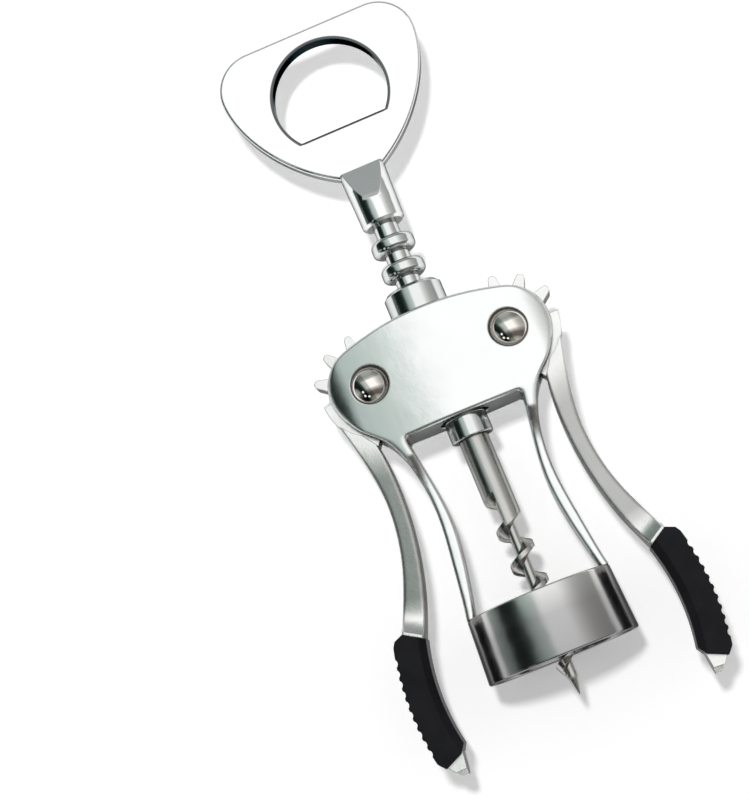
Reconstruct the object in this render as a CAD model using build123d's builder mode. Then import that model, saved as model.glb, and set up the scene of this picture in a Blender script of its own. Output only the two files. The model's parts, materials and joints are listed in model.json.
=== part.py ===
from build123d import *
import os
from math import asin, cos, degrees, pi, radians, sin, sqrt

# A wing corkscrew, lying flat.  Lengths in millimetres, angles in degrees.
# Y runs up the corkscrew's axis, from the mouth of the bell (Y = 0) to the handle.
# X runs across both levers, and Z is the depth, with the domed rivet heads facing +Z.

# ---- driving dimensions -------------------------------------------------------------

# gearing: a ringed rack between two toothed levers
ring_spacing = 7.1          # from ring to ring
teeth_per_turn = 12         # teeth that a whole lever gear would have
teeth_cut = 7               # teeth that each lever has
rack_pitch_radius = 5.44    # where the rack meets the gears' pitch circle
tooth_tip_radius = 14.8
tooth_root_radius = 10.8
tooth_root_width = 3.5
tooth_tip_width = 2.3
mesh_phase = 4.0            # how far past the axis the nearest tooth stands at rest
first_tooth_angle = 26.0    # of the outermost tooth, from the +X direction

# casting
pivot_y = 81.0              # height of the lever pivots above the bell's mouth
head_rise = 13.6            # top of the head above the pivots
head_drop = 16.0            # underside of the head below the pivots
cheek_radius = 11.0         # round end of the head about each pivot
cheek_end_angle = -20.0     # where that round runs out into the leg
head_half_depth = 8.7       # at the middle of the head
cheek_half_depth = 5.5      # at the outer ends of the head
window_half_width = 15.7    # top of the opening between the legs
waist_drop = 40.0           # narrowest point of the legs below the pivots
waist_half_width = 15.8     # outside of the legs there
leg_width = 3.0
foot_width = 2.3
foot_inset = 0.15           # feet inside the bell's top edge
leg_half_depth = 4.4
thinning_length = 18.0      # stretch below the head over which it thins into the legs
thinning_lift = 0.6         # how far the thinning starts above the middle of the head
edge_round = 0.9            # softened edges of the casting

# lever heads and pivots
gear_half_thickness = 3.05
slot_clearance = 0.3        # between a gear and everything around it
rivet_radius = 2.5
rivet_head_radius = 4.75
rivet_head_height = 2.5
rivet_fit = 0.01            # rivet in the casting
pivot_clearance = 0.06      # rivet in the lever
dimple_rim_radius = 5.4
dimple_floor_radius = 4.9
dimple_floor_z = 6.5
rivet_tail_reach = 1.2      # tail of the rivet inside the rear cap

# rack, collar and worm
rack_core_radius = 3.25
ring_radius = 5.85
ring_width = 4.0
ring_round = 1.4
rings = 7
rings_below_mesh = 2        # of them, below the gap that the teeth stand in at rest
rack_foot_radius = 5.6
rack_foot_top = -12.6       # from the pivots
rack_foot_bottom = -21.7
rack_foot_round = 0.4
rack_clearance = 0.75       # ring to casting bore
collar_radius = 7.8
collar_height = 7.4
collar_bore_radius = 6.45
collar_spigot_radius = 7.3
collar_spigot_depth = 4.0
collar_clearance = 0.06     # spigot in the casting
collar_thrust_gap = 0.05
collar_seat_depth = 0.6     # flat spot under the collar, below the top of the head
collar_bevel = 0.9
rod_radius = 3.9
rod_fit = 0.01              # rod in the rack's foot
rod_socket_depth = 8.0
worm_core_radius = 1.35
flute_spacing = 9.2         # from turn to turn of the screw
worm_start = -40.6          # first cut of the flute, from the pivots
worm_tip = -90.7
worm_taper_length = 9.5     # stretch over which the screw narrows to its point
worm_point_length = 4.6
worm_point_radius = 0.15
flute_root_width = 6.0
flute_mouth_width = 7.9
flute_start_angle = 100.0   # from +X towards the front

# handle
neck_bottom_radius = 5.75
neck_top_radius = 6.2
neck_length = 16.2
neck_bottom = 39.1          # from the pivots
neck_stud_length = 8.0      # stud of the rack inside the neck
neck_bevel = 0.7
stud_step = 0.4             # shoulder between the rack's core and its stud
stud_fit = 0.01
facet_length = 10.0         # slope that runs from the round neck up to the plate
facet_half_depth = 3.1      # half depth of the neck where the plate begins
plate_half_thickness = 2.1
plate_length = 41.8
plate_half_width = 27.5
plate_shoulder = 10.5       # corner radius at the top
plate_round = 0.8
plate_root_depth = 3.7      # how far the plate's pointed root runs down inside the neck
opener_radius = 15.3
opener_top_wall = 4.4       # metal between the opener and the plate's top
opener_lip = -9.4           # straight edge of the opener, from its centre
opener_bevel = 0.8

# bell
bell_height = 16.9
bell_mouth_radius = 19.95
bell_top_radius = 19.05
bell_wall = 2.0
bell_roof = 2.2             # thickness of the ring that the bottle's lip meets
bell_hole_radius = 13.4
bell_round = 0.5

# lever arms, measured from the pivot of the right lever
arm_length = 64.0           # down to the inner corner of the flange
arm_reach = 11.3            # outwards to the same corner
arm_half_depth = 4.8
shoulder_radius = 13.2
step_radius = 12.8
throat_radius = 15.33       # where the inner side of the arm leaves the head
throat_angle = -74.9
arm_round = 0.5
flange_half_depth = 6.8
flange_angle = 31.0         # tilt of the flange from the X direction
flange_rise_length = 5.0    # stretch over which the arm swells up to the flange
flange_land = 0.7           # flat rim at the end of that swell
flange_width = 5.4
tang_half_width = 1.8
tang_half_depth = 4.4
tang_overlap = 2.0          # how far the tang runs up into the arm
wedge_length = 5.0          # wedge beyond the grip
wedge_half_width = 2.8      # where it leaves the grip
wedge_tip_half_width = 0.8
wedge_lean = 0.4            # how far its tip stands outside the middle of the tang
wedge_bevel = 1.5

# grips, curved about a point beyond the other lever
grip_mid_radius = 60.0
grip_join_angle = 16.6      # direction from the centre of the arc to the flange
grip_join_step = 1.0        # how far the flange's middle is inside the middle of the grip
grip_join_drop = 0.88       # how far the grip's inner side begins below the flange's middle
grip_length = 31.0
grip_half_width = 4.1
grip_half_depth = 6.6
grip_shoulder_length = 1.5  # slope at the top of the outer side
grip_shoulder_height = 0.5
grip_inner_corner = 1.8     # cut corners of the lower end
grip_outer_corner = 1.2
grip_end_slant = 0.9        # how far the outer side runs lower than the inner side
grip_inner_bevel = 1.8
grip_round = 0.7
grip_fit = 0.02             # tang in the rubber
rib_count = 10
rib_start = 5.0             # topmost groove, below the top of the grip
rib_spacing = 2.6
rib_groove_radius = 1.1
rib_groove_depth = 0.55

# ---- sizes that follow --------------------------------------------------------------

pitch_radius = ring_spacing * teeth_per_turn / (2 * pi)
pivot_x = pitch_radius + rack_pitch_radius
tooth_angle = 360 / teeth_per_turn
mesh_gap = pivot_y + radians(mesh_phase) * pitch_radius
half_width = pivot_x + cheek_radius
head_top = pivot_y + head_rise
underside = pivot_y - head_drop
seat_flat_y = head_top - collar_seat_depth
slot_half_depth = gear_half_thickness + slot_clearance
slot_radius = tooth_tip_radius + slot_clearance
bore_radius = ring_radius + rack_clearance
neck_bottom_y = pivot_y + neck_bottom
plate_base_y = neck_bottom_y + neck_length
plate_top_y = plate_base_y + plate_length
widest_y = plate_top_y - plate_shoulder
flank_height = widest_y - plate_base_y
opener_y = plate_top_y - opener_top_wall - opener_radius
stud_radius = rack_core_radius - stud_step
thickest = 2 * max(head_half_depth, flange_half_depth, bell_mouth_radius)


def about_pivot(x, y):
    """A point given from the right lever's pivot."""
    return (pivot_x + x, pivot_y + y)


def around_pivot(radius, angle):
    """A point at a radius and an angle from the right lever's pivot."""
    return about_pivot(radius * cos(radians(angle)), radius * sin(radians(angle)))


def on_cheek(across, down):
    """A point below the right pivot, as shares of the cheek's radius and of the head's drop."""
    return about_pivot(across * cheek_radius, -down * head_drop)


def on_arm(across, down):
    """A point on the right arm, as shares of its reach and of its length."""
    return about_pivot(across * arm_reach, -down * arm_length)


def beyond(start, distance, angle):
    """A point at a distance and in a direction from another point."""
    return (start[0] + distance * cos(radians(angle)), start[1] + distance * sin(radians(angle)))


def on_grip_arc(radius, angle):
    """A point on a circle about the centre of the grips' arc."""
    return beyond(grip_centre, radius, angle)


def grip_arc(length):
    """The angle that a length takes up along the middle of the grip."""
    return degrees(length / grip_mid_radius)


# the arm ends square to its direction there, and the grip's arc starts from that end
flange_inner = about_pivot(arm_reach, -arm_length)
flange_outer = beyond(flange_inner, flange_width, flange_angle)
flange_middle = beyond(flange_inner, flange_width / 2, flange_angle)
grip_centre = beyond(flange_middle, grip_join_step - grip_mid_radius, grip_join_angle)
tang_top_angle = grip_join_angle + grip_arc(tang_overlap)
grip_top_angle = grip_join_angle - grip_arc(grip_join_drop)
grip_end_angle = grip_top_angle - grip_arc(grip_length)
wedge_end_angle = grip_end_angle - grip_arc(wedge_length)


# ---- bell: a short cone that drops over the neck of a bottle ---------------------------

seat_y = bell_height - bell_roof
with BuildPart() as bell:
    with BuildSketch(Plane.XY):
        with BuildLine():
            Polyline(
                (bell_mouth_radius - bell_wall, 0),
                (bell_mouth_radius, 0),
                (bell_top_radius, bell_height),
                (bell_hole_radius, bell_height),
                (bell_hole_radius, seat_y),
                (bell_top_radius - bell_wall, seat_y),
                close=True,
            )
        make_face()
    revolve(axis=Axis.Y)
    fillet(bell.edges().filter_by(GeomType.CIRCLE).group_by(Axis.Y)[0], bell_round)
    fillet(bell.edges().filter_by(GeomType.CIRCLE).group_by(Axis.Y)[-1], bell_round)
bell.part.label = "bell"

# ---- frame: a cast head with two legs down to the bell --------------------------------

# the arched top is tangent to the round ends of the head
arch_radius = (pivot_x**2 + head_rise**2 - cheek_radius**2) / (2 * (head_rise - cheek_radius))
arch_lean = degrees(asin(pivot_x / (arch_radius - cheek_radius)))
arch_end = around_pivot(cheek_radius, 90 - arch_lean)
cheek_end = around_pivot(cheek_radius, cheek_end_angle)
waist_y = pivot_y - waist_drop
foot_x = bell_top_radius - foot_inset
foot_y = bell_height

with BuildPart() as frame_body:
    # outline of the head and the right leg, then its mirror image
    with BuildSketch(Plane.XY):
        with BuildLine():
            RadiusArc((0, head_top), arch_end, arch_radius)
            end = ThreePointArc(arch_end, around_pivot(cheek_radius, 20), cheek_end)
            outside = Spline(
                cheek_end,
                on_cheek(0.655, 0.594),
                on_cheek(0.191, 0.919),
                (waist_half_width + 2.0, pivot_y - 1.344 * head_drop),
                (waist_half_width, waist_y),
                (waist_half_width + 1.1, (waist_y + bell_height) / 2 + 2),
                (foot_x, foot_y),
                tangents=[end % 1, (2.0, -10.0)],
                tangent_scalars=[0.7, 1.0],
            )
            foot = Line(outside @ 1, (foot_x - foot_width, foot_y))
            inside = Spline(
                foot @ 1,
                (waist_half_width - leg_width + 1.0, (waist_y + bell_height) / 2 + 2),
                (waist_half_width - leg_width, waist_y),
                (window_half_width - 1.1, pivot_y - head_drop - 7),
                (window_half_width, underside),
            )
            Line(inside @ 1, (0, underside))
            Line((0, underside), (0, head_top))
        make_face()
        mirror(about=Plane.YZ)
    extrude(amount=thickest, both=True)

    # front and back bulge gently across the head
    with BuildSketch(Plane.XZ):
        with BuildLine():
            right_edge = (half_width, cheek_half_depth)
            left_edge = (-half_width, cheek_half_depth)
            ThreePointArc(left_edge, (0, head_half_depth), right_edge)
            Line(right_edge, (half_width, -cheek_half_depth))
            ThreePointArc(
                (half_width, -cheek_half_depth),
                (0, -head_half_depth),
                (-half_width, -cheek_half_depth),
            )
            Line((-half_width, -cheek_half_depth), left_edge)
        make_face()
    extrude(amount=-2 * head_top, both=True, mode=Mode.INTERSECT)

    # seen from the side, the head thins into the legs
    with BuildSketch(Plane.YZ):
        with BuildLine():
            thinning = Bezier(
                (underside, head_half_depth + thinning_lift),
                (underside - 0.3 * thinning_length, head_half_depth),
                (underside - 0.4 * thinning_length, leg_half_depth),
                (underside - thinning_length, leg_half_depth),
            )
            Polyline(
                thinning @ 1,
                (0, leg_half_depth),
                (0, 0),
                (head_top, 0),
                (head_top, head_half_depth + thinning_lift),
                thinning @ 0,
            )
        make_face()
        mirror(about=Plane.XZ)
    extrude(amount=2 * half_width, both=True, mode=Mode.INTERSECT)
    above_feet = frame_body.edges().filter_by(lambda e: e.center().Y > foot_y + edge_round)
    fillet(above_feet.filter_by(lambda e: abs(e.center().Z) > leg_half_depth / 2), edge_round)

    # slots for the two lever gears
    with BuildSketch(Plane.XY):
        with Locations((pivot_x, pivot_y), (-pivot_x, pivot_y)):
            Circle(slot_radius)
    extrude(amount=slot_half_depth, both=True, mode=Mode.SUBTRACT)

    # bore for the rack, and the collar's seat at its top
    with BuildSketch(Plane.XZ.offset(-waist_y)):
        Circle(bore_radius)
    extrude(amount=waist_y - head_top, mode=Mode.SUBTRACT)
    with BuildSketch(Plane.XZ.offset(-seat_flat_y)):
        Circle(collar_radius + slot_clearance)
    extrude(amount=-head_rise, mode=Mode.SUBTRACT)
    with BuildSketch(Plane.XZ.offset(collar_spigot_depth + collar_thrust_gap - seat_flat_y)):
        Circle(collar_spigot_radius + collar_clearance)
    extrude(amount=-head_rise, mode=Mode.SUBTRACT)

    # rivet holes and the dimples around the rivet heads
    with Locations((pivot_x, pivot_y, 0), (-pivot_x, pivot_y, 0)):
        Cylinder(rivet_radius + rivet_fit, thickest, mode=Mode.SUBTRACT)
    dimple_slope = (dimple_rim_radius - dimple_floor_radius) / (head_half_depth - dimple_floor_z)
    for side in (1, -1):
        with BuildSketch(Plane.XY.offset(side * dimple_floor_z)):
            with Locations((pivot_x, pivot_y), (-pivot_x, pivot_y)):
                Circle(dimple_floor_radius)
        extrude(amount=side * head_half_depth, taper=-degrees(asin(dimple_slope)), mode=Mode.SUBTRACT)
frame_body.part.label = "frame_body"

# ---- guide collar: a turned bush on the head that the rack slides through ---------------

collar_base = seat_flat_y + collar_thrust_gap
with BuildPart() as guide_collar:
    with BuildSketch(Plane.XY):
        with BuildLine():
            Polyline(
                (collar_bore_radius, collar_base - collar_spigot_depth),
                (collar_spigot_radius, collar_base - collar_spigot_depth),
                (collar_spigot_radius, collar_base),
                (collar_radius, collar_base),
                (collar_radius, collar_base + collar_height),
                (collar_bore_radius, collar_base + collar_height),
                close=True,
            )
        make_face()
    revolve(axis=Axis.Y)
    collar_top = guide_collar.edges().filter_by(GeomType.CIRCLE).group_by(Axis.Y)[-1]
    chamfer(collar_top.sort_by(SortBy.RADIUS)[-1], collar_bevel)
guide_collar.part.label = "guide_collar"

# ---- rack: a turned spindle with rings, and a foot that holds the worm's rod ------------

rack_foot_top_y = pivot_y + rack_foot_top
rack_foot_bottom_y = pivot_y + rack_foot_bottom
bottom_ring_y = mesh_gap - (rings_below_mesh - 0.5) * ring_spacing
with BuildPart() as rack_spindle:
    # half of the lengthwise section, from the axis outwards
    with BuildSketch(Plane.XY) as rack_section:
        with Locations((0, rack_foot_top_y)):
            Rectangle(rack_core_radius, neck_bottom_y - rack_foot_top_y, align=(Align.MIN, Align.MIN))
        with Locations((0, neck_bottom_y)):
            Rectangle(stud_radius, neck_stud_length, align=(Align.MIN, Align.MIN))
        with Locations((0, bottom_ring_y)):
            with GridLocations(0, ring_spacing, 1, rings, align=(Align.MIN, Align.MIN)):
                Rectangle(ring_radius, ring_width, align=(Align.MIN, Align.CENTER))
        fillet(rack_section.vertices().group_by(Axis.X)[-1], ring_round)
        with Locations((0, rack_foot_bottom_y)):
            Rectangle(rack_foot_radius, rack_foot_top_y - rack_foot_bottom_y, align=(Align.MIN, Align.MIN))
            socket = (rod_radius + rod_fit, rod_socket_depth)
            Rectangle(*socket, align=(Align.MIN, Align.MIN), mode=Mode.SUBTRACT)
    revolve(axis=Axis.Y)
    rack_foot_rims = rack_spindle.edges().filter_by(GeomType.CIRCLE).group_by(Axis.Y)[0]
    fillet(rack_foot_rims.sort_by(SortBy.RADIUS)[-1], rack_foot_round)
rack_spindle.part.label = "rack_spindle"

# ---- worm: a steel rod, fluted into a right-handed screw and ground to a point ----------

rod_top_y = rack_foot_bottom_y + rod_socket_depth
rod_length = rod_top_y - (pivot_y + worm_tip)
flute_start = rod_top_y - (pivot_y + worm_start)
flute_past = 0.8            # how far the flute's cutter reaches outside the rod
mouth_growth = (flute_mouth_width - flute_root_width) / (rod_radius - worm_core_radius)
with BuildPart() as upright_worm:
    # turned blank, drawn upside down along +Z
    with BuildSketch(Plane.XZ):
        with BuildLine():
            Polyline(
                (0, 0),
                (rod_radius, 0),
                (rod_radius, rod_length - worm_taper_length),
                (worm_core_radius, rod_length - worm_point_length),
                (worm_point_radius, rod_length),
                (0, rod_length),
                close=True,
            )
        make_face()
    revolve(axis=Axis.Z)
    with BuildLine():
        flute_height = rod_length - flute_start + flute_spacing
        flute_path = Helix(flute_spacing, flute_height, rod_radius, (0, 0, flute_start))
    with BuildSketch(Plane(flute_path @ 0, x_dir=(1, 0, 0), z_dir=(0, -1, 0))):
        with BuildLine():
            core = worm_core_radius - rod_radius
            mouth = (flute_mouth_width + mouth_growth * flute_past) / 2
            Polyline(
                (core, -flute_root_width / 2),
                (flute_past, -mouth),
                (flute_past, mouth),
                (core, flute_root_width / 2),
                close=True,
            )
        make_face()
    sweep(path=flute_path, is_frenet=True, mode=Mode.SUBTRACT)
with BuildPart() as worm:
    with Locations(Plane((0, rod_top_y, 0), x_dir=(1, 0, 0), z_dir=(0, -1, 0))):
        with Locations(Rotation(0, 0, flute_start_angle)):
            add(upright_worm.part)
worm.part.label = "worm"

# ---- handle: a flat plate with a bottle opener, on a round neck -------------------------

neck_slope = (neck_top_radius - neck_bottom_radius) / neck_length
facet_start_depth = neck_bottom_radius + neck_slope * (neck_length - facet_length)
facet_slope = (facet_start_depth - facet_half_depth) / facet_length
with BuildPart() as opener_plate:
    with BuildSketch(Plane.XY):
        with BuildLine():
            flank = Bezier(
                (0, plate_base_y - plate_root_depth),
                (plate_half_width * 0.62, plate_base_y + flank_height * 0.092),
                (plate_half_width, plate_base_y + flank_height * 0.63),
                (plate_half_width, widest_y),
            )
            shoulder = JernArc(flank @ 1, (0, 1), plate_shoulder, 90)
            Polyline(shoulder @ 1, (0, plate_top_y), flank @ 0)
        make_face()
        mirror(about=Plane.YZ)
    extrude(amount=plate_half_thickness, both=True)
    fillet(opener_plate.edges().filter_by(Axis.Z, reverse=True), plate_round)

    # opener: a round hole with one straight edge, bevelled on both faces
    with BuildSketch(Plane.XY):
        with Locations((0, opener_y)):
            Circle(opener_radius)
        with Locations((0, opener_y + opener_lip)):
            below_lip = (Align.CENTER, Align.MAX)
            Rectangle(3 * opener_radius, 2 * opener_radius, align=below_lip, mode=Mode.SUBTRACT)
    extrude(amount=plate_half_thickness, both=True, mode=Mode.SUBTRACT)
    opener_rims = opener_plate.faces().filter_by(Axis.Z).edges().filter_by(
        lambda e: abs(e.center().Y - opener_y) < opener_radius and abs(e.center().X) < 0.1
    )
    chamfer(opener_rims, opener_bevel)

with BuildPart() as opener_handle:
    # neck, with a sloping facet front and back
    with BuildSketch(Plane.XY):
        with BuildLine():
            Polyline(
                (0, neck_bottom_y),
                (neck_bottom_radius - neck_bevel, neck_bottom_y),
                (neck_bottom_radius, neck_bottom_y + neck_bevel),
                (neck_top_radius, plate_base_y),
                (0, plate_base_y),
                close=True,
            )
        make_face()
    revolve(axis=Axis.Y)
    with BuildSketch(Plane.YZ):
        with BuildLine():
            Polyline(
                (neck_bottom_y, 0),
                (neck_bottom_y, facet_half_depth + facet_slope * neck_length),
                (plate_base_y, facet_half_depth),
                (plate_base_y, 0),
                close=True,
            )
        make_face()
        mirror(about=Plane.XZ)
    extrude(amount=2 * neck_top_radius, both=True, mode=Mode.INTERSECT)
    add(opener_plate.part)

    # bore for the rack's stud
    with BuildSketch(Plane.XZ.offset(-neck_bottom_y)):
        Circle(stud_radius + stud_fit)
    extrude(amount=-neck_stud_length, mode=Mode.SUBTRACT)
opener_handle.part.label = "opener_handle"

# ---- levers: a toothed head, a curved arm and a tang that ends in a small wedge ---------

flange_plane = Plane(
    origin=(flange_inner[0], flange_inner[1], 0),
    x_dir=(sin(radians(flange_angle)), -cos(radians(flange_angle)), 0),
    z_dir=(cos(radians(flange_angle)), sin(radians(flange_angle)), 0),
)
reach = 2 * arm_length

with BuildSketch(Plane.XY) as tang_face:
    with BuildLine():
        tang_inner = ThreePointArc(
            on_grip_arc(grip_mid_radius - tang_half_width, tang_top_angle),
            on_grip_arc(grip_mid_radius - tang_half_width, 0),
            on_grip_arc(grip_mid_radius - tang_half_width, grip_end_angle),
        )
        tang_outer = ThreePointArc(
            on_grip_arc(grip_mid_radius + tang_half_width, grip_end_angle),
            on_grip_arc(grip_mid_radius + tang_half_width, 0),
            on_grip_arc(grip_mid_radius + tang_half_width, tang_top_angle),
        )
        Line(tang_inner @ 1, tang_outer @ 0)
        Line(tang_outer @ 1, tang_inner @ 0)
    make_face()
    with BuildLine():
        wedge_slant = grip_arc(grip_end_slant / 2)
        wedge_tip_radius = grip_mid_radius + wedge_lean
        Polyline(
            on_grip_arc(grip_mid_radius - wedge_half_width, grip_end_angle + 2 * wedge_slant),
            on_grip_arc(wedge_tip_radius - wedge_tip_half_width, wedge_end_angle),
            on_grip_arc(wedge_tip_radius + wedge_tip_half_width, wedge_end_angle + wedge_slant),
            on_grip_arc(grip_mid_radius + wedge_half_width, grip_end_angle - wedge_slant),
            close=True,
        )
    make_face()

with BuildPart() as right_lever:
    # toothed head: plain on the side that the arm leaves from
    with BuildSketch(Plane.XY):
        with Locations(about_pivot(0, 0)):
            Circle(tooth_root_radius)
            toothed = (teeth_cut - 1) * tooth_angle
            with PolarLocations(0, teeth_cut, first_tooth_angle, toothed, endpoint=True):
                Polygon(
                    (tooth_root_radius - 2, -tooth_root_width / 2),
                    (tooth_root_radius, -tooth_root_width / 2),
                    (tooth_tip_radius - tooth_tip_width / 2, -tooth_tip_width / 2),
                    (tooth_tip_radius - tooth_tip_width / 2, tooth_tip_width / 2),
                    (tooth_root_radius, tooth_root_width / 2),
                    (tooth_root_radius - 2, tooth_root_width / 2),
                )
                with Locations((tooth_tip_radius - tooth_tip_width / 2, 0)):
                    Circle(tooth_tip_width / 2)
        with BuildLine():
            Line(about_pivot(0, 0), around_pivot(shoulder_radius, 0))
            RadiusArc(around_pivot(shoulder_radius, 0), around_pivot(shoulder_radius, -45), shoulder_radius)
            Polyline(
                around_pivot(shoulder_radius, -45),
                around_pivot(throat_radius, throat_angle),
                around_pivot(tooth_root_radius, -85),
                about_pivot(0, 0),
            )
        make_face()
    extrude(amount=gear_half_thickness, both=True)

    # arm, with a step that clears the casting
    with BuildSketch(Plane.XY):
        with BuildLine():
            step = RadiusArc(around_pivot(step_radius, -33), around_pivot(step_radius, -58), step_radius)
            inner_side = Spline(
                around_pivot(throat_radius, throat_angle),
                on_arm(0.29, 0.328),
                on_arm(0.28, 0.473),
                on_arm(0.345, 0.606),
                on_arm(0.478, 0.736),
                on_arm(0.673, 0.859),
                flange_inner,
            )
            outer_side = Spline(
                flange_outer,
                on_arm(1.133, 0.842),
                on_arm(0.885, 0.727),
                on_arm(0.708, 0.591),
                on_arm(0.655, 0.453),
                on_arm(0.761, 0.291),
                around_pivot(shoulder_radius, -30),
            )
            Line(step @ 1, inner_side @ 0)
            Line(inner_side @ 1, outer_side @ 0)
            Line(outer_side @ 1, step @ 0)
        make_face()
    extrude(amount=flange_half_depth, both=True)

    # seen from the side, the arm swells up to the flange
    with BuildSketch(flange_plane):
        with BuildLine():
            swell_start = (-flange_land - flange_rise_length, arm_half_depth)
            swell = TangentArc(swell_start, (-flange_land, flange_half_depth), tangent=(1, 0))
            land = Line(swell @ 1, (0, flange_half_depth))
            Polyline(land @ 1, (0, 0), (-reach, 0), (-reach, arm_half_depth), swell @ 0)
        make_face()
        mirror(about=Plane.XZ)
    extrude(amount=reach, both=True, mode=Mode.INTERSECT)
    arm_sides = right_lever.edges().filter_by(GeomType.BSPLINE)
    fillet(arm_sides.filter_by(lambda e: abs(e.center().Z) > arm_half_depth - 0.1), arm_round)

    # tang and wedge
    extrude(tang_face.sketch, amount=tang_half_depth, both=True)
    tang_rims = right_lever.edges().filter_by(lambda e: abs(abs(e.center().Z) - tang_half_depth) < 0.01)
    chamfer(tang_rims.sort_by(Axis.Y)[:2], wedge_bevel)
    with Locations((pivot_x, pivot_y, 0)):
        Cylinder(rivet_radius + pivot_clearance, thickest, mode=Mode.SUBTRACT)
right_lever.part.label = "right_lever"

with BuildPart() as left_lever:
    mirror(right_lever.part, about=Plane.YZ)
left_lever.part.label = "left_lever"

# ---- grips: ribbed rubber sleeves on the tangs ------------------------------------------

inner_radius = grip_mid_radius - grip_half_width
outer_radius = grip_mid_radius + grip_half_width
rib_angle = degrees(rib_spacing / outer_radius)
rib_start_angle = grip_top_angle - grip_arc(rib_start)
with BuildPart() as right_grip:
    with BuildSketch(Plane.XY):
        with BuildLine():
            inside_arc = ThreePointArc(
                on_grip_arc(inner_radius, grip_top_angle),
                on_grip_arc(inner_radius, 0),
                on_grip_arc(inner_radius, grip_end_angle + grip_arc(grip_inner_corner)),
            )
            outside_arc = ThreePointArc(
                on_grip_arc(outer_radius, grip_end_angle + grip_arc(grip_outer_corner)),
                on_grip_arc(outer_radius, 0),
                on_grip_arc(outer_radius, grip_top_angle - grip_arc(grip_shoulder_length)),
            )
            Polyline(
                inside_arc @ 1,
                on_grip_arc(inner_radius + grip_inner_corner, grip_end_angle),
                on_grip_arc(outer_radius - grip_outer_corner, grip_end_angle - grip_arc(grip_end_slant)),
                outside_arc @ 0,
            )
            Polyline(
                outside_arc @ 1,
                on_grip_arc(outer_radius - grip_shoulder_height, grip_top_angle),
                flange_outer,
                inside_arc @ 0,
            )
        make_face()
    extrude(amount=grip_half_depth, both=True)
    on_inside = right_grip.edges().filter_by(GeomType.CIRCLE).sort_by(SortBy.RADIUS)[:2]
    chamfer(on_inside, grip_inner_bevel)
    rims = right_grip.faces().filter_by(Axis.Z).edges()
    fillet(rims.filter_by(GeomType.CIRCLE).sort_by(SortBy.RADIUS)[-2:], grip_round)

    # hole for the tang
    with BuildSketch(Plane.XY):
        add(tang_face.sketch)
        offset(amount=grip_fit)
    extrude(amount=tang_half_depth + grip_fit, both=True, mode=Mode.SUBTRACT)

    # grooves between the ribs
    with BuildSketch(Plane.XY):
        with Locations(on_grip_arc(0, 0)):
            ribbed = -(rib_count - 1) * rib_angle
            groove_arc = outer_radius + rib_groove_radius - rib_groove_depth
            with PolarLocations(groove_arc, rib_count, rib_start_angle, ribbed, endpoint=True):
                Circle(rib_groove_radius)
    extrude(amount=grip_half_depth, both=True, mode=Mode.SUBTRACT)
right_grip.part.label = "right_grip"

with BuildPart() as left_grip:
    mirror(right_grip.part, about=Plane.YZ)
left_grip.part.label = "left_grip"

# ---- pivots: domed rivets from the front, each with a domed cap on its tail --------------

pivot_axis = Axis((pivot_x, pivot_y, 0), (0, 0, 1))
rivet_end_z = -dimple_floor_z - rivet_tail_reach
with BuildPart() as right_pivot_rivet:
    with BuildSketch(Plane.XZ.offset(-pivot_y)):
        with BuildLine():
            shank = Polyline(
                (pivot_x, rivet_end_z),
                (pivot_x + rivet_radius, rivet_end_z),
                (pivot_x + rivet_radius, dimple_floor_z),
                (pivot_x + rivet_head_radius, dimple_floor_z),
            )
            dome_top = (pivot_x, dimple_floor_z + rivet_head_height)
            TangentArc(dome_top, shank @ 1, tangent=(1, 0))
            Line(dome_top, shank @ 0)
        make_face()
    revolve(axis=pivot_axis)
right_pivot_rivet.part.label = "right_pivot_rivet"

with BuildPart() as right_rivet_cap:
    with BuildSketch(Plane.XZ.offset(-pivot_y)):
        with BuildLine():
            hollow = Polyline(
                (pivot_x, rivet_end_z),
                (pivot_x + rivet_radius + rivet_fit, rivet_end_z),
                (pivot_x + rivet_radius + rivet_fit, -dimple_floor_z),
                (pivot_x + rivet_head_radius, -dimple_floor_z),
            )
            cap_top = (pivot_x, -dimple_floor_z - rivet_head_height)
            TangentArc(cap_top, hollow @ 1, tangent=(1, 0))
            Line(cap_top, hollow @ 0)
        make_face()
    revolve(axis=pivot_axis)
right_rivet_cap.part.label = "right_rivet_cap"

with BuildPart() as left_pivot_rivet:
    mirror(right_pivot_rivet.part, about=Plane.YZ)
left_pivot_rivet.part.label = "left_pivot_rivet"

with BuildPart() as left_rivet_cap:
    mirror(right_rivet_cap.part, about=Plane.YZ)
left_rivet_cap.part.label = "left_rivet_cap"

# ---- files -----------------------------------------------------------------------------

os.makedirs("parts", exist_ok=True)
export_step(bell.part, "parts/bell.step")
export_step(frame_body.part, "parts/frame_body.step")
export_step(guide_collar.part, "parts/guide_collar.step")
export_step(rack_spindle.part, "parts/rack_spindle.step")
export_step(worm.part, "parts/worm.step")
export_step(opener_handle.part, "parts/opener_handle.step")
export_step(left_lever.part, "parts/left_lever.step")
export_step(right_lever.part, "parts/right_lever.step")
export_step(left_grip.part, "parts/left_grip.step")
export_step(right_grip.part, "parts/right_grip.step")
export_step(left_pivot_rivet.part, "parts/left_pivot_rivet.step")
export_step(right_pivot_rivet.part, "parts/right_pivot_rivet.step")
export_step(left_rivet_cap.part, "parts/left_rivet_cap.step")
export_step(right_rivet_cap.part, "parts/right_rivet_cap.step")
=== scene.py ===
import json
import math

import bmesh
import bpy
from mathutils import Matrix, Vector


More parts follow.
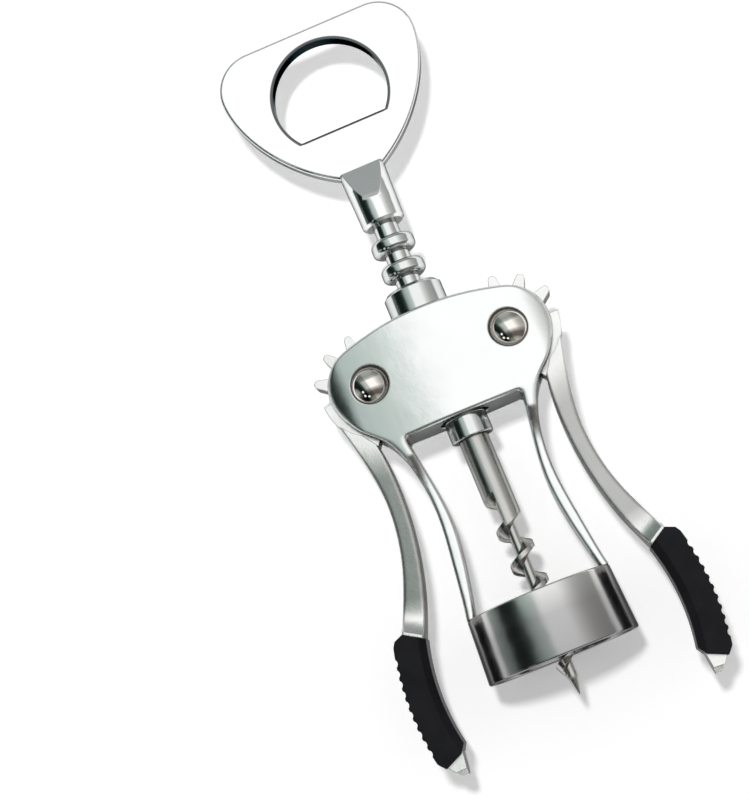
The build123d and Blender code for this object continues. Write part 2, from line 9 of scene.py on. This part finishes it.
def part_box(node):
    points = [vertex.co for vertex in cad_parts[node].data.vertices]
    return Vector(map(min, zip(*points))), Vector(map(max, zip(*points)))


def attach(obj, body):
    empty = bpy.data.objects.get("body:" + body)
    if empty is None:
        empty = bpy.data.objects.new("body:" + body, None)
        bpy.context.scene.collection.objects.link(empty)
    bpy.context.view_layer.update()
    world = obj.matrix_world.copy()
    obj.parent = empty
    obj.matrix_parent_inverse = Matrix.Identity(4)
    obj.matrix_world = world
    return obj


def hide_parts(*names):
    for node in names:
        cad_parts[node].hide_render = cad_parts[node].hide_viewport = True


# A wing corkscrew of plated castings, turned steel and black rubber, lying on a white table.
# Everything is in metres, in the CAD frame: Y up the tool's axis, +Z the front.

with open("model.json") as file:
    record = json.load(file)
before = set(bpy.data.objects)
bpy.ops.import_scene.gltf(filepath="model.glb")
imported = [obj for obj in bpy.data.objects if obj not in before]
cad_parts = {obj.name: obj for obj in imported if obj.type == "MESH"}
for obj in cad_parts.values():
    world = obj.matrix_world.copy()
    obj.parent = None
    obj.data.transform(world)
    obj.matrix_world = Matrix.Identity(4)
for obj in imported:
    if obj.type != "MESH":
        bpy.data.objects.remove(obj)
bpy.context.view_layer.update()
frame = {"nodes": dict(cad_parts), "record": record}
MM = 0.001

# ---- places taken from the CAD pieces ------------------------------------------------

bell_low, bell_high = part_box("bell")
rivet_low, rivet_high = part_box("right_pivot_rivet")
plate_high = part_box("opener_handle")[1]

TABLE_Z = bell_low.z
RIVET_PLACE = ((rivet_low.x + rivet_high.x) / 2, (rivet_low.y + rivet_high.y) / 2, 0)
CHEEK_RADIUS = 11 * MM          # the head's round end, about the rivet
CHEEK_X = RIVET_PLACE[0] + CHEEK_RADIUS
HEAD_DROP = 16 * MM             # from the rivets down to the head's underside
UNDERSIDE_Y = RIVET_PLACE[1] - HEAD_DROP
OPENER_RADIUS = 15.3 * MM
OPENER_BEVEL = 0.8 * MM         # by which it is wider on the plate's faces
OPENER_MARGIN = 4.4 * MM        # metal left above it
OPENER_LIP_DROP = 9.4 * MM      # from its centre to its straight edge
OPENER_PLACE = (0, plate_high.y - OPENER_MARGIN - OPENER_RADIUS, 0)
OPENER_LIP_Y = OPENER_PLACE[1] - OPENER_LIP_DROP

# ---- camera --------------------------------------------------------------------------

IMAGE_HEIGHT = 800
FOCAL_PIXELS = 1787.5
SENSOR = 36.0
CAMERA_AT = Vector((3.77, -12.15, 448.7)) * MM
CAMERA_AIM = Vector((-19.62, 78.28, 0.0)) * MM
CAMERA_ROLL = math.radians(22.13)       # how far the tool's axis leans to the left
CLIP_START = 0.01


def add_camera():
    """Looks down on the tool, which leans to the left in the frame."""
    back = (CAMERA_AT - CAMERA_AIM).normalized()
    tool_up = Vector((0, 1, 0))
    tool_up = (tool_up - back * tool_up.dot(back)).normalized()
    tool_right = tool_up.cross(back)
    right = tool_right * math.cos(CAMERA_ROLL) - tool_up * math.sin(CAMERA_ROLL)
    up = tool_up * math.cos(CAMERA_ROLL) + tool_right * math.sin(CAMERA_ROLL)
    data = bpy.data.cameras.new("camera")
    data.sensor_fit = "VERTICAL"
    data.sensor_height = SENSOR
    data.lens = FOCAL_PIXELS * SENSOR / IMAGE_HEIGHT
    data.clip_start = CLIP_START
    camera = bpy.data.objects.new("camera", data)
    turned = Matrix((right, up, back)).transposed().to_4x4()
    camera.matrix_world = Matrix.Translation(CAMERA_AT) @ turned
    bpy.context.scene.collection.objects.link(camera)
    bpy.context.scene.camera = camera


add_camera()

# ---- small helpers -------------------------------------------------------------------

VECTOR_A, VECTOR_B, VECTOR_OUT = 4, 5, 1    # sockets of a Mix node that mixes vectors
COLOR_A, COLOR_B, COLOR_OUT = 6, 7, 2       # and of one that mixes colours


def hex_color(text):
    """sRGB hex to the linear colour that shaders use."""
    def channel(pair):
        c = int(pair, 16) / 255
        return c / 12.92 if c <= 0.04045 else ((c + 0.055) / 1.055) ** 2.4
    text = text.lstrip("#")
    return tuple(channel(text[i:i + 2]) for i in (0, 2, 4)) + (1.0,)


def add(tree, kind, inputs=None, **settings):
    """Adds a node. An input's value is a number, a colour or another node's output."""
    node = tree.nodes.new(kind)
    for name, value in settings.items():
        setattr(node, name, value)
    for name, value in (inputs or {}).items():
        socket = node.inputs[name]
        if isinstance(value, bpy.types.NodeSocket):
            tree.links.new(value, socket)
        else:
            socket.default_value = value
    return node


def ramp(tree, factor, stops):
    """A colour ramp from (position, grey or hex) pairs."""
    node = add(tree, "ShaderNodeValToRGB", {"Fac": factor})
    elements = node.color_ramp.elements
    while len(elements) < len(stops):
        elements.new(0.5)
    for element, (position, value) in zip(elements, stops):
        element.position = position
        grey = (value, value, value, 1)
        element.color = hex_color(value) if isinstance(value, str) else grey
    return node.outputs["Color"]


def new_material(name, color, metallic, roughness):
    """A material with its Principled shader set; metals get the tint of plating at an angle."""
    material = bpy.data.materials.new(name)
    material.use_nodes = True
    tree = material.node_tree
    shader = tree.nodes["Principled BSDF"]
    shader.inputs["Base Color"].default_value = hex_color(color)
    shader.inputs["Metallic"].default_value = metallic
    shader.inputs["Roughness"].default_value = roughness
    if metallic:
        shader.inputs["Specular Tint"].default_value = hex_color(GRAZING_TINT)
    return material, tree, shader


# ---- finishes ------------------------------------------------------------------------

GRAZING_TINT = "#5C5C5C"        # plating darkens where it is seen nearly edge on
SMEAR_MM = 9.0                  # size of the smears that handling leaves
NOISE_LOW, NOISE_HIGH = 0.35, 0.7   # the span that a noise really covers
EDGE_SAMPLES = 6

# radii to which polishing breaks an edge
CRISP_EDGE_MM = 0.5
CHEEK_EDGE_MM = 1.8             # the round ends of the head
LEG_ROOT_EDGE_MM = 1.8          # the head's corners, where the legs begin
ARM_EDGE_MM = 1.3
LEVER_END_EDGE_MM = 0.35        # the teeth, the flange and the wedge
GRIP_EDGE_MM = 0.5

# the head: how far in from its end the soft edge starts and is full, the outer stretch over
# which polishing has rolled its face off, and where the legs' roots begin and are full
CHEEK_EDGE_FROM = CHEEK_X - 7 * MM
CHEEK_EDGE_TO = CHEEK_X - 2.5 * MM
CHEEK_ROLL_WIDTH = 6.0 * MM
CHEEK_ROLL_SLOPE = math.tan(math.radians(17))
LEG_ROOT_X = (14 * MM, 16.5 * MM)
LEG_ROOT_Y = (UNDERSIDE_Y - 14 * MM, UNDERSIDE_Y + 6 * MM)
RIVET_GAP_SHADE_REACH = (4.85 * MM, 5.1 * MM)       # radii between which the painted shade in the gaps round the rivets ends

# the opener: how sharply the painted shade on its wall and bevel ends, on the dark and on the
# bright side
SHADE_BLEND_DARK, SHADE_BLEND_BRIGHT = 0.15 * MM, 0.05 * MM

# the levers
LEVER_REACH = 100 * MM          # from a pivot to just short of the lever's end
ARM_LEAN = math.tan(math.radians(7))

# the grips: the stipple that the mould leaves, and the dull patches of bloom
STIPPLE_MM, STIPPLE_DEPTH_MM, BLOOM_MM = 0.5, 0.05, 5.0

# Directions of a grain. Tool marks and grit are really under 0.1 mm wide, which is too fine to
# show, so the finest grains below are drawn at 0.4 to 0.6 mm, as coarse as they need to be.
ALL_WAYS = (1.0, 1.0, 1.0)      # no direction, as casting and blasting leave it
ROUND_AXIS = (0.02, 1.0, 0.02)  # drawn out round the tool's axis, as turning leaves it
ALONG_AXIS = (1.0, 0.05, 1.0)   # drawn out along the tool's axis, as drawn rod has it
IN_PLAN = (1, 1, 0)             # keeps a place's X and Y, and drops its height


def metal(name, color, roughness, edge_mm, grains, smear=0.2):
    """A metal whose edges are softened by polishing, with layers of surface grain, each given as
    its size and depth in millimetres and its direction, and faint smears from handling."""
    material, tree, shader = new_material(name, color, 1.0, roughness)
    place = add(tree, "ShaderNodeTexCoord").outputs["Object"]
    edge = add(tree, "ShaderNodeBevel", {"Radius": edge_mm * MM}, samples=EDGE_SAMPLES)
    normal = edge.outputs["Normal"]
    for size_mm, depth_mm, drawn in grains:
        stretched = add(tree, "ShaderNodeMapping", {"Vector": place, "Scale": drawn})
        grain = add(tree, "ShaderNodeTexNoise", {
            "Vector": stretched.outputs["Vector"], "Scale": 1 / (size_mm * MM), "Detail": 2.0})
        normal = add(tree, "ShaderNodeBump", {
            "Height": grain.outputs["Fac"], "Distance": depth_mm * MM, "Strength": 1.0,
            "Normal": normal}).outputs["Normal"]
    tree.links.new(normal, shader.inputs["Normal"])
    smears = add(tree, "ShaderNodeTexNoise",
                 {"Vector": place, "Scale": 1 / (SMEAR_MM * MM), "Detail": 5.0})
    spread = add(tree, "ShaderNodeMapRange", {
        "Value": smears.outputs["Fac"], "From Min": NOISE_LOW, "From Max": NOISE_HIGH,
        "To Min": roughness * (1 - smear), "To Max": roughness * (1 + smear)})
    tree.links.new(spread.outputs["Result"], shader.inputs["Roughness"])
    return material


def distance_from(tree, centre):
    """How far a point is, in plan, from a place on the tool's right half or from its mirror
    image on the left, and the point's own place folded over to the right."""
    place = add(tree, "ShaderNodeTexCoord").outputs["Object"]
    folded = add(tree, "ShaderNodeVectorMath", {0: place}, operation="ABSOLUTE").outputs["Vector"]
    flat = add(tree, "ShaderNodeVectorMath", {0: folded, 1: IN_PLAN}, operation="MULTIPLY")
    distance = add(tree, "ShaderNodeVectorMath", {0: flat.outputs["Vector"], 1: centre},
                   operation="DISTANCE")
    return distance.outputs["Value"], folded


def spun_bell_plating():
    """Dark nickel-chrome on spun steel: reflections are soft, and drawn out round the bell by
    the fine lines that spinning and buffing leave. Its colour is painted lighter towards the
    top, a painted reflection of the bright ceiling there."""
    material = metal("spun_bell_plating", "#B4B3B1", roughness=0.19, edge_mm=0.3,
                     grains=[(0.5, 0.012, ROUND_AXIS), (14.0, 0.10, ALL_WAYS)])
    tree = material.node_tree
    place = add(tree, "ShaderNodeTexCoord").outputs["Object"]
    part = add(tree, "ShaderNodeSeparateXYZ", {"Vector": place})
    height = add(tree, "ShaderNodeMapRange", {
        "Value": part.outputs["Y"], "From Min": bell_low.y, "From Max": bell_high.y})
    # painted highlight: the colour goes lighter towards the top, a painted reflection of the
    # bright ceiling
    color = ramp(tree, height.outputs["Result"],
                 [(0.0, "#AAA9AA"), (0.6, "#B6B5B5"), (1.0, "#E0E0DE")])
    tree.links.new(color, tree.nodes["Principled BSDF"].inputs["Base Color"])
    return material


def satin_chromed_casting():
    """Satin chrome on a zinc casting: a soft, milky reflection with a faint orange peel. The
    round ends of the head are polished off softly, the legs and the underside keep crisp
    edges, and the gaps round the rivets are painted dark, a painted shade in the dimples."""
    material = metal("satin_chromed_casting", "#F3F5F4", roughness=0.19, edge_mm=CRISP_EDGE_MM,
                     grains=[(0.6, 0.006, ALL_WAYS), (3.0, 0.03, ALL_WAYS),
                             (14.0, 0.14, ALL_WAYS)])
    tree = material.node_tree
    shader = tree.nodes["Principled BSDF"]
    from_rivet, folded = distance_from(tree, RIVET_PLACE)
    part = add(tree, "ShaderNodeSeparateXYZ", {"Vector": folded})
    outwards = add(tree, "ShaderNodeMapRange", {
        "Value": part.outputs["X"], "From Min": CHEEK_EDGE_FROM, "From Max": CHEEK_EDGE_TO,
        "To Max": CHEEK_EDGE_MM * MM})
    beside_window = add(tree, "ShaderNodeMapRange", {
        "Value": part.outputs["X"], "From Min": LEG_ROOT_X[0], "From Max": LEG_ROOT_X[1],
        "To Max": LEG_ROOT_EDGE_MM * MM})
    height = add(tree, "ShaderNodeMapRange", {
        "Value": part.outputs["Y"], "From Min": LEG_ROOT_Y[0], "From Max": LEG_ROOT_Y[1]})
    at_leg_root = ramp(tree, height.outputs["Result"],
                       [(0.1, 0.0), (0.4, 1.0), (0.7, 1.0), (0.9, 0.0)])
    at_cheek = ramp(tree, height.outputs["Result"], [(0.7, 0.0), (1.0, 1.0)])
    cheek = add(tree, "ShaderNodeMath", {0: outwards.outputs["Result"], 1: at_cheek},
                operation="MULTIPLY")
    leg_root = add(tree, "ShaderNodeMath", {
        0: beside_window.outputs["Result"], 1: at_leg_root}, operation="MULTIPLY")
    softest = add(tree, "ShaderNodeMath", {0: cheek.outputs[0], 1: leg_root.outputs[0]},
                  operation="MAXIMUM")
    radius = add(tree, "ShaderNodeMath", {0: softest.outputs[0], 1: CRISP_EDGE_MM * MM},
                 operation="MAXIMUM")
    tree.links.new(radius.outputs[0], tree.nodes["Bevel"].inputs["Radius"])
    from_rim = add(tree, "ShaderNodeMath", {
        0: part.outputs["X"], 1: CHEEK_X - CHEEK_ROLL_WIDTH}, operation="SUBTRACT")
    onto_roll = add(tree, "ShaderNodeMath", {0: from_rim.outputs[0], 1: 0.0}, operation="MAXIMUM")
    squared = add(tree, "ShaderNodeMath", {0: onto_roll.outputs[0], 1: 2.0}, operation="POWER")
    sinking = CHEEK_ROLL_SLOPE / (2 * CHEEK_ROLL_WIDTH)     # reaches the slope at the very end
    sunk = add(tree, "ShaderNodeMath", {0: squared.outputs[0], 1: -sinking}, operation="MULTIPLY")
    plain = shader.inputs["Normal"].links[0].from_socket
    rolled = add(tree, "ShaderNodeBump", {
        "Height": sunk.outputs[0], "Distance": 1.0, "Strength": 1.0, "Normal": plain})
    tree.links.new(rolled.outputs["Normal"], shader.inputs["Normal"])
    # painted shade: the gaps round the rivets are coloured dark, where the dimples lie in shade
    rivet_gap_shade = add(tree, "ShaderNodeMapRange", {
        "Value": from_rivet, "From Min": RIVET_GAP_SHADE_REACH[0], "From Max": RIVET_GAP_SHADE_REACH[1]})
    color = ramp(tree, rivet_gap_shade.outputs["Result"], [(0.0, "#4A4643"), (1.0, "#F3F5F4")])
    tree.links.new(color, shader.inputs["Base Color"])
    return material


def turned_bright_chrome():
    """Bright chrome on a turned part: mirror-like, with tool marks ringing the axis."""
    return metal("turned_bright_chrome", "#E2E5E4", roughness=0.09, edge_mm=0.15,
                 grains=[(0.45, 0.010, ROUND_AXIS), (9.0, 0.05, ALL_WAYS)])


def polished_chromed_plate():
    """Bright chrome on a polished plate: nearly a mirror, slightly uneven from hand polishing.
    The wall and the bevel of the opener are painted dark, a painted reflection of the shade below
    the plate."""
    material = metal("polished_chromed_plate", "#F4F5F5", roughness=0.11, edge_mm=0.25,
                     grains=[(1.2, 0.004, ALL_WAYS), (16.0, 0.03, ALL_WAYS)])
    tree = material.node_tree
    from_opener, folded = distance_from(tree, OPENER_PLACE)
    part = add(tree, "ShaderNodeSeparateXYZ", {"Vector": folded})
    within = add(tree, "ShaderNodeMapRange", {
        "Value": from_opener, "From Min": OPENER_RADIUS + OPENER_BEVEL - SHADE_BLEND_DARK,
        "From Max": OPENER_RADIUS + OPENER_BEVEL + SHADE_BLEND_BRIGHT, "To Min": 1.0, "To Max": 0.0})
    above = add(tree, "ShaderNodeMapRange", {
        "Value": part.outputs["Y"], "From Min": OPENER_LIP_Y - OPENER_BEVEL - SHADE_BLEND_BRIGHT,
        "From Max": OPENER_LIP_Y - OPENER_BEVEL + SHADE_BLEND_DARK})
    opener_painted_shade = add(tree, "ShaderNodeMath", {
        0: within.outputs["Result"], 1: above.outputs["Result"]}, operation="MULTIPLY")
    # painted reflection: the opener's wall and bevel are coloured dark, as if they mirrored shade
    color = ramp(tree, opener_painted_shade.outputs[0], [(0.0, "#F4F5F5"), (1.0, "#5A5E60")])
    tree.links.new(color, tree.nodes["Principled BSDF"].inputs["Base Color"])
    return material


def ground_worm_steel():
    """Bright drawn rod with a ground screw: softly brushed along its length."""
    return metal("ground_worm_steel", "#C6C5C2", roughness=0.22, edge_mm=0.12,
                 grains=[(0.4, 0.008, ALONG_AXIS), (0.5, 0.006, ROUND_AXIS)])


def satin_lever_plating():
    """Satin nickel on a zinc casting: duller and darker than the head, with a fine even grain.
    The arms' faces are ground to lean outwards and their edges are rubbed round; the teeth,
    the flange and the wedge at the end are polished brighter."""
    material = metal("satin_lever_plating", "#B7B7B5", roughness=0.26, edge_mm=ARM_EDGE_MM,
                     grains=[(0.5, 0.025, ALL_WAYS), (2.5, 0.03, ALL_WAYS),
                             (10.0, 0.12, ALL_WAYS)])
    tree = material.node_tree
    shader = tree.nodes["Principled BSDF"]
    from_rivet, folded = distance_from(tree, RIVET_PLACE)
    along = add(tree, "ShaderNodeMapRange", {"Value": from_rivet, "From Max": LEVER_REACH})
    arm = ramp(tree, along.outputs["Result"],
               [(0.15, 0.0), (0.24, 1.0), (0.55, 1.0), (0.60, 0.0)])
    color = ramp(tree, arm, [(0.0, "#F3F3F1"), (0.5, "#D0CFCD"), (1.0, "#B7B7B5")])
    tree.links.new(color, shader.inputs["Base Color"])
    edge = add(tree, "ShaderNodeMapRange", {
        "Value": arm, "To Min": LEVER_END_EDGE_MM * MM, "To Max": ARM_EDGE_MM * MM})
    tree.links.new(edge.outputs["Result"], tree.nodes["Bevel"].inputs["Radius"])
    part = add(tree, "ShaderNodeSeparateXYZ", {"Vector": folded})
    inwards = add(tree, "ShaderNodeMath", {0: part.outputs["X"], 1: -1.0}, operation="MULTIPLY")
    plain = shader.inputs["Normal"].links[0].from_socket
    leaning = add(tree, "ShaderNodeBump", {
        "Height": inwards.outputs[0], "Distance": ARM_LEAN, "Strength": 1.0, "Normal": plain})
    normal = add(tree, "ShaderNodeMix", {
        "Factor": arm, VECTOR_A: plain, VECTOR_B: leaning.outputs["Normal"]},
        data_type="VECTOR")
    tree.links.new(normal.outputs[VECTOR_OUT], shader.inputs["Normal"])
    return material


def polished_rivet_steel():
    """Polished steel: a small, slightly warm mirror ball."""
    return metal("polished_rivet_steel", "#F3EEE8", roughness=0.07, edge_mm=0.1,
                 grains=[(2.5, 0.01, ALL_WAYS)])


def moulded_black_rubber():
    """Moulded nitrile rubber: nearly black, with a dull sheen and a fine stipple."""
    material, tree, shader = new_material("moulded_black_rubber", "#121216",
                                          metallic=0.0, roughness=0.5)
    shader.inputs["Specular IOR Level"].default_value = 0.2
    place = add(tree, "ShaderNodeTexCoord").outputs["Object"]
    edge = add(tree, "ShaderNodeBevel", {"Radius": GRIP_EDGE_MM * MM}, samples=EDGE_SAMPLES)
    stipple = add(tree, "ShaderNodeTexNoise", {
        "Vector": place, "Scale": 1 / (STIPPLE_MM * MM), "Detail": 3.0, "Roughness": 0.6})
    bump = add(tree, "ShaderNodeBump", {
        "Height": stipple.outputs["Fac"], "Distance": STIPPLE_DEPTH_MM * MM, "Strength": 1.0,
        "Normal": edge.outputs["Normal"]})
    tree.links.new(bump.outputs["Normal"], shader.inputs["Normal"])
    bloom = add(tree, "ShaderNodeTexNoise", {
        "Vector": place, "Scale": 1 / (BLOOM_MM * MM), "Detail": 4.0})
    color = ramp(tree, bloom.outputs["Fac"], [(0.3, "#0E0E11"), (0.7, "#17171B")])
    tree.links.new(color, shader.inputs["Base Color"])
    return material


FINISHES = {
    "bell_steel": spun_bell_plating(),
    "cast_frame": satin_chromed_casting(),
    "turned_chrome": turned_bright_chrome(),
    "handle_metal": polished_chromed_plate(),
    "worm_steel": ground_worm_steel(),
    "lever_metal": satin_lever_plating(),
    "rivet_steel": polished_rivet_steel(),
    "grip_rubber": moulded_black_rubber(),
}

# ---- pieces --------------------------------------------------------------------------

SHARP_ANGLE = math.radians(28)  # a steeper fold than this stays a crisp edge
MERGE_DISTANCE = 0.0005 * MM

SLOT_OF = {s["node"]: s["material_slot"] for s in frame["record"]["subparts"]}
BODY_OF = {node: body
           for body, nodes in frame["record"]["behaviour"]["bodies"].items()
           for node in nodes}


def finish_piece(piece, node):
    """The piece stands for a CAD node: it rides with that node's body and takes its finish."""
    piece.data.materials.clear()
    piece.data.materials.append(FINISHES[SLOT_OF[node]])
    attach(piece, BODY_OF[node])
    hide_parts(node)
    return piece


def smooth_copy(node):
    """The CAD piece with its loose triangles joined, so that curved faces reflect smoothly."""
    mesh = frame["nodes"][node].data.copy()
    mesh.name = node + "_surface"
    bm = bmesh.new()
    bm.from_mesh(mesh)
    bmesh.ops.remove_doubles(bm, verts=bm.verts, dist=MERGE_DISTANCE)
    for face in bm.faces:
        face.smooth = True
    for edge in bm.edges:
        edge.smooth = len(edge.link_faces) == 2 and edge.calc_face_angle() < SHARP_ANGLE
    bm.to_mesh(mesh)
    bm.free()
    piece = bpy.data.objects.new(node + "_surface", mesh)
    bpy.context.scene.collection.objects.link(piece)
    weighted = piece.modifiers.new("flat_faces", "WEIGHTED_NORMAL")
    weighted.keep_sharp = True
    return finish_piece(piece, node)


for node_name in frame["nodes"]:
    smooth_copy(node_name)

# ---- table, light and surroundings ---------------------------------------------------

TABLE_HALF_SIZE = 3.0
TABLE_GLOW = 0.20
FILL_STRENGTH = 0.44
CEILING_STRENGTH = 1.12
LAMP_AT = Vector((-14, 141, 700)) * MM
LAMP_SIZE = 0.06
LAMP_POWER = 2.35

# brightness of the ceiling from the tool's left (0) over the top (0.5) to its right (1)
TOWARDS_RIGHT = (0.974, 0.225, 0)
SIDES = [(0.00, "#A6AEAB"), (0.045, "#7C8683"), (0.075, "#101A18"), (0.16, "#131D1B"),
         (0.22, "#36403E"), (0.28, "#98A4A0"), (0.36, "#B4BFBB"), (0.42, "#BCC6C2"),
         (0.47, "#F6F8F7"), (0.50, "#FFFFFF"), (0.75, "#FFFFFF"), (0.84, "#DADAD8"),
         (0.92, "#B4B4B1"), (1.0, "#9A9A98")]
# the same from below the bell (0) to above the handle (1)
TOWARDS_HANDLE = (0, 1, 0)
ENDS = [(0.0, "#B4B3B1"), (0.06, "#A3A09D"), (0.12, "#5C5652"), (0.24, "#66605B"),
        (0.34, "#B4B3B2"), (0.43, "#FFFFFF"), (0.74, "#FFFFFF"), (0.81, "#B0B4B3"),
        (0.90, "#8E9392"), (1.0, "#A2A6A5")]
# small lamps: their directions, and the cosines at which one ends and is full
SMALL_LAMPS = [(-0.72, -0.25, 0.64), (-0.66, -0.56, 0.50), (-0.38, -0.74, 0.55)]
SMALL_LAMP_RIM, SMALL_LAMP_CORE = 0.994, 0.997

WHITE = (1, 1, 1, 1)


def add_table():
    """A white table that keeps the tool's soft shadow."""
    bm = bmesh.new()
    bmesh.ops.create_grid(bm, x_segments=1, y_segments=1, size=TABLE_HALF_SIZE)
    bmesh.ops.translate(bm, verts=bm.verts, vec=(0, 0, TABLE_Z))
    mesh = bpy.data.meshes.new("table")
    bm.to_mesh(mesh)
    bm.free()
    table = bpy.data.objects.new("table", mesh)
    bpy.context.scene.collection.objects.link(table)
    material, tree, shader = new_material("white_table", "#FFFFFF", metallic=0.0, roughness=1.0)
    shader.inputs["Specular IOR Level"].default_value = 0.0
    rays = add(tree, "ShaderNodeLightPath")
    seen = add(tree, "ShaderNodeMath", {
        0: rays.outputs["Is Camera Ray"], 1: rays.outputs["Is Glossy Ray"]},
        operation="MAXIMUM")
    seen = add(tree, "ShaderNodeMath", {
        0: seen.outputs[0], 1: rays.outputs["Is Transmission Ray"]}, operation="MAXIMUM")
    glow = add(tree, "ShaderNodeMath", {0: seen.outputs[0], 1: TABLE_GLOW}, operation="MULTIPLY")
    shader.inputs["Emission Color"].default_value = WHITE
    tree.links.new(glow.outputs[0], shader.inputs["Emission Strength"])
    mesh.materials.append(material)


def add_key_light():
    """A soft lamp nearly overhead, so that the shadow falls a little towards the bell's end."""
    data = bpy.data.lights.new("softbox", "AREA")
    data.shape = "DISK"
    data.size = LAMP_SIZE
    data.energy = LAMP_POWER
    lamp = bpy.data.objects.new("softbox", data)
    lamp.location = LAMP_AT
    lamp.visible_glossy = False
    bpy.context.scene.collection.objects.link(lamp)


def add_surroundings():
    """A bright studio ceiling, as polished metal sees it: with a dark flag low on the tool's
    left, grey towards its right, and dim at both ends. Other rays get an even light, and the
    background is white."""
    world = bpy.data.worlds.new("studio")
    world.use_nodes = True
    bpy.context.scene.world = world
    tree = world.node_tree
    tree.nodes.clear()
    towards = add(tree, "ShaderNodeTexCoord").outputs["Generated"]

    def along(direction):
        dot = add(tree, "ShaderNodeVectorMath", {0: towards, 1: direction},
                  operation="DOT_PRODUCT")
        return dot.outputs["Value"]

    across = add(tree, "ShaderNodeMapRange", {"Value": along(TOWARDS_RIGHT), "From Min": -1.0})
    sides = ramp(tree, across.outputs["Result"], SIDES)
    up = add(tree, "ShaderNodeMapRange", {"Value": along(TOWARDS_HANDLE), "From Min": -1.0})
    ends = ramp(tree, up.outputs["Result"], ENDS)
    ceiling = add(tree, "ShaderNodeMix", {"Factor": 1.0, COLOR_A: sides, COLOR_B: ends},
                  data_type="RGBA", blend_type="MULTIPLY").outputs[COLOR_OUT]
    for direction in SMALL_LAMPS:
        near = add(tree, "ShaderNodeMapRange", {
            "Value": along(Vector(direction).normalized()),
            "From Min": SMALL_LAMP_RIM, "From Max": SMALL_LAMP_CORE})
        ceiling = add(tree, "ShaderNodeMix", {
            "Factor": near.outputs["Result"], COLOR_A: ceiling, COLOR_B: WHITE},
            data_type="RGBA").outputs[COLOR_OUT]
    rays = add(tree, "ShaderNodeLightPath")
    even = add(tree, "ShaderNodeBackground", {"Color": WHITE, "Strength": FILL_STRENGTH})
    studio = add(tree, "ShaderNodeBackground", {"Color": ceiling, "Strength": CEILING_STRENGTH})
    white = add(tree, "ShaderNodeBackground", {"Color": WHITE, "Strength": 1.0})
    metal_sees = add(tree, "ShaderNodeMixShader", {
        0: rays.outputs["Is Glossy Ray"], 1: even.outputs[0], 2: studio.outputs[0]})
    shown = add(tree, "ShaderNodeMixShader", {
        0: rays.outputs["Is Camera Ray"], 1: metal_sees.outputs[0], 2: white.outputs[0]})
    add(tree, "ShaderNodeOutputWorld", {"Surface": shown.outputs[0]})


add_table()
add_key_light()
add_surroundings()

bpy.context.scene.view_settings.view_transform = "Standard"
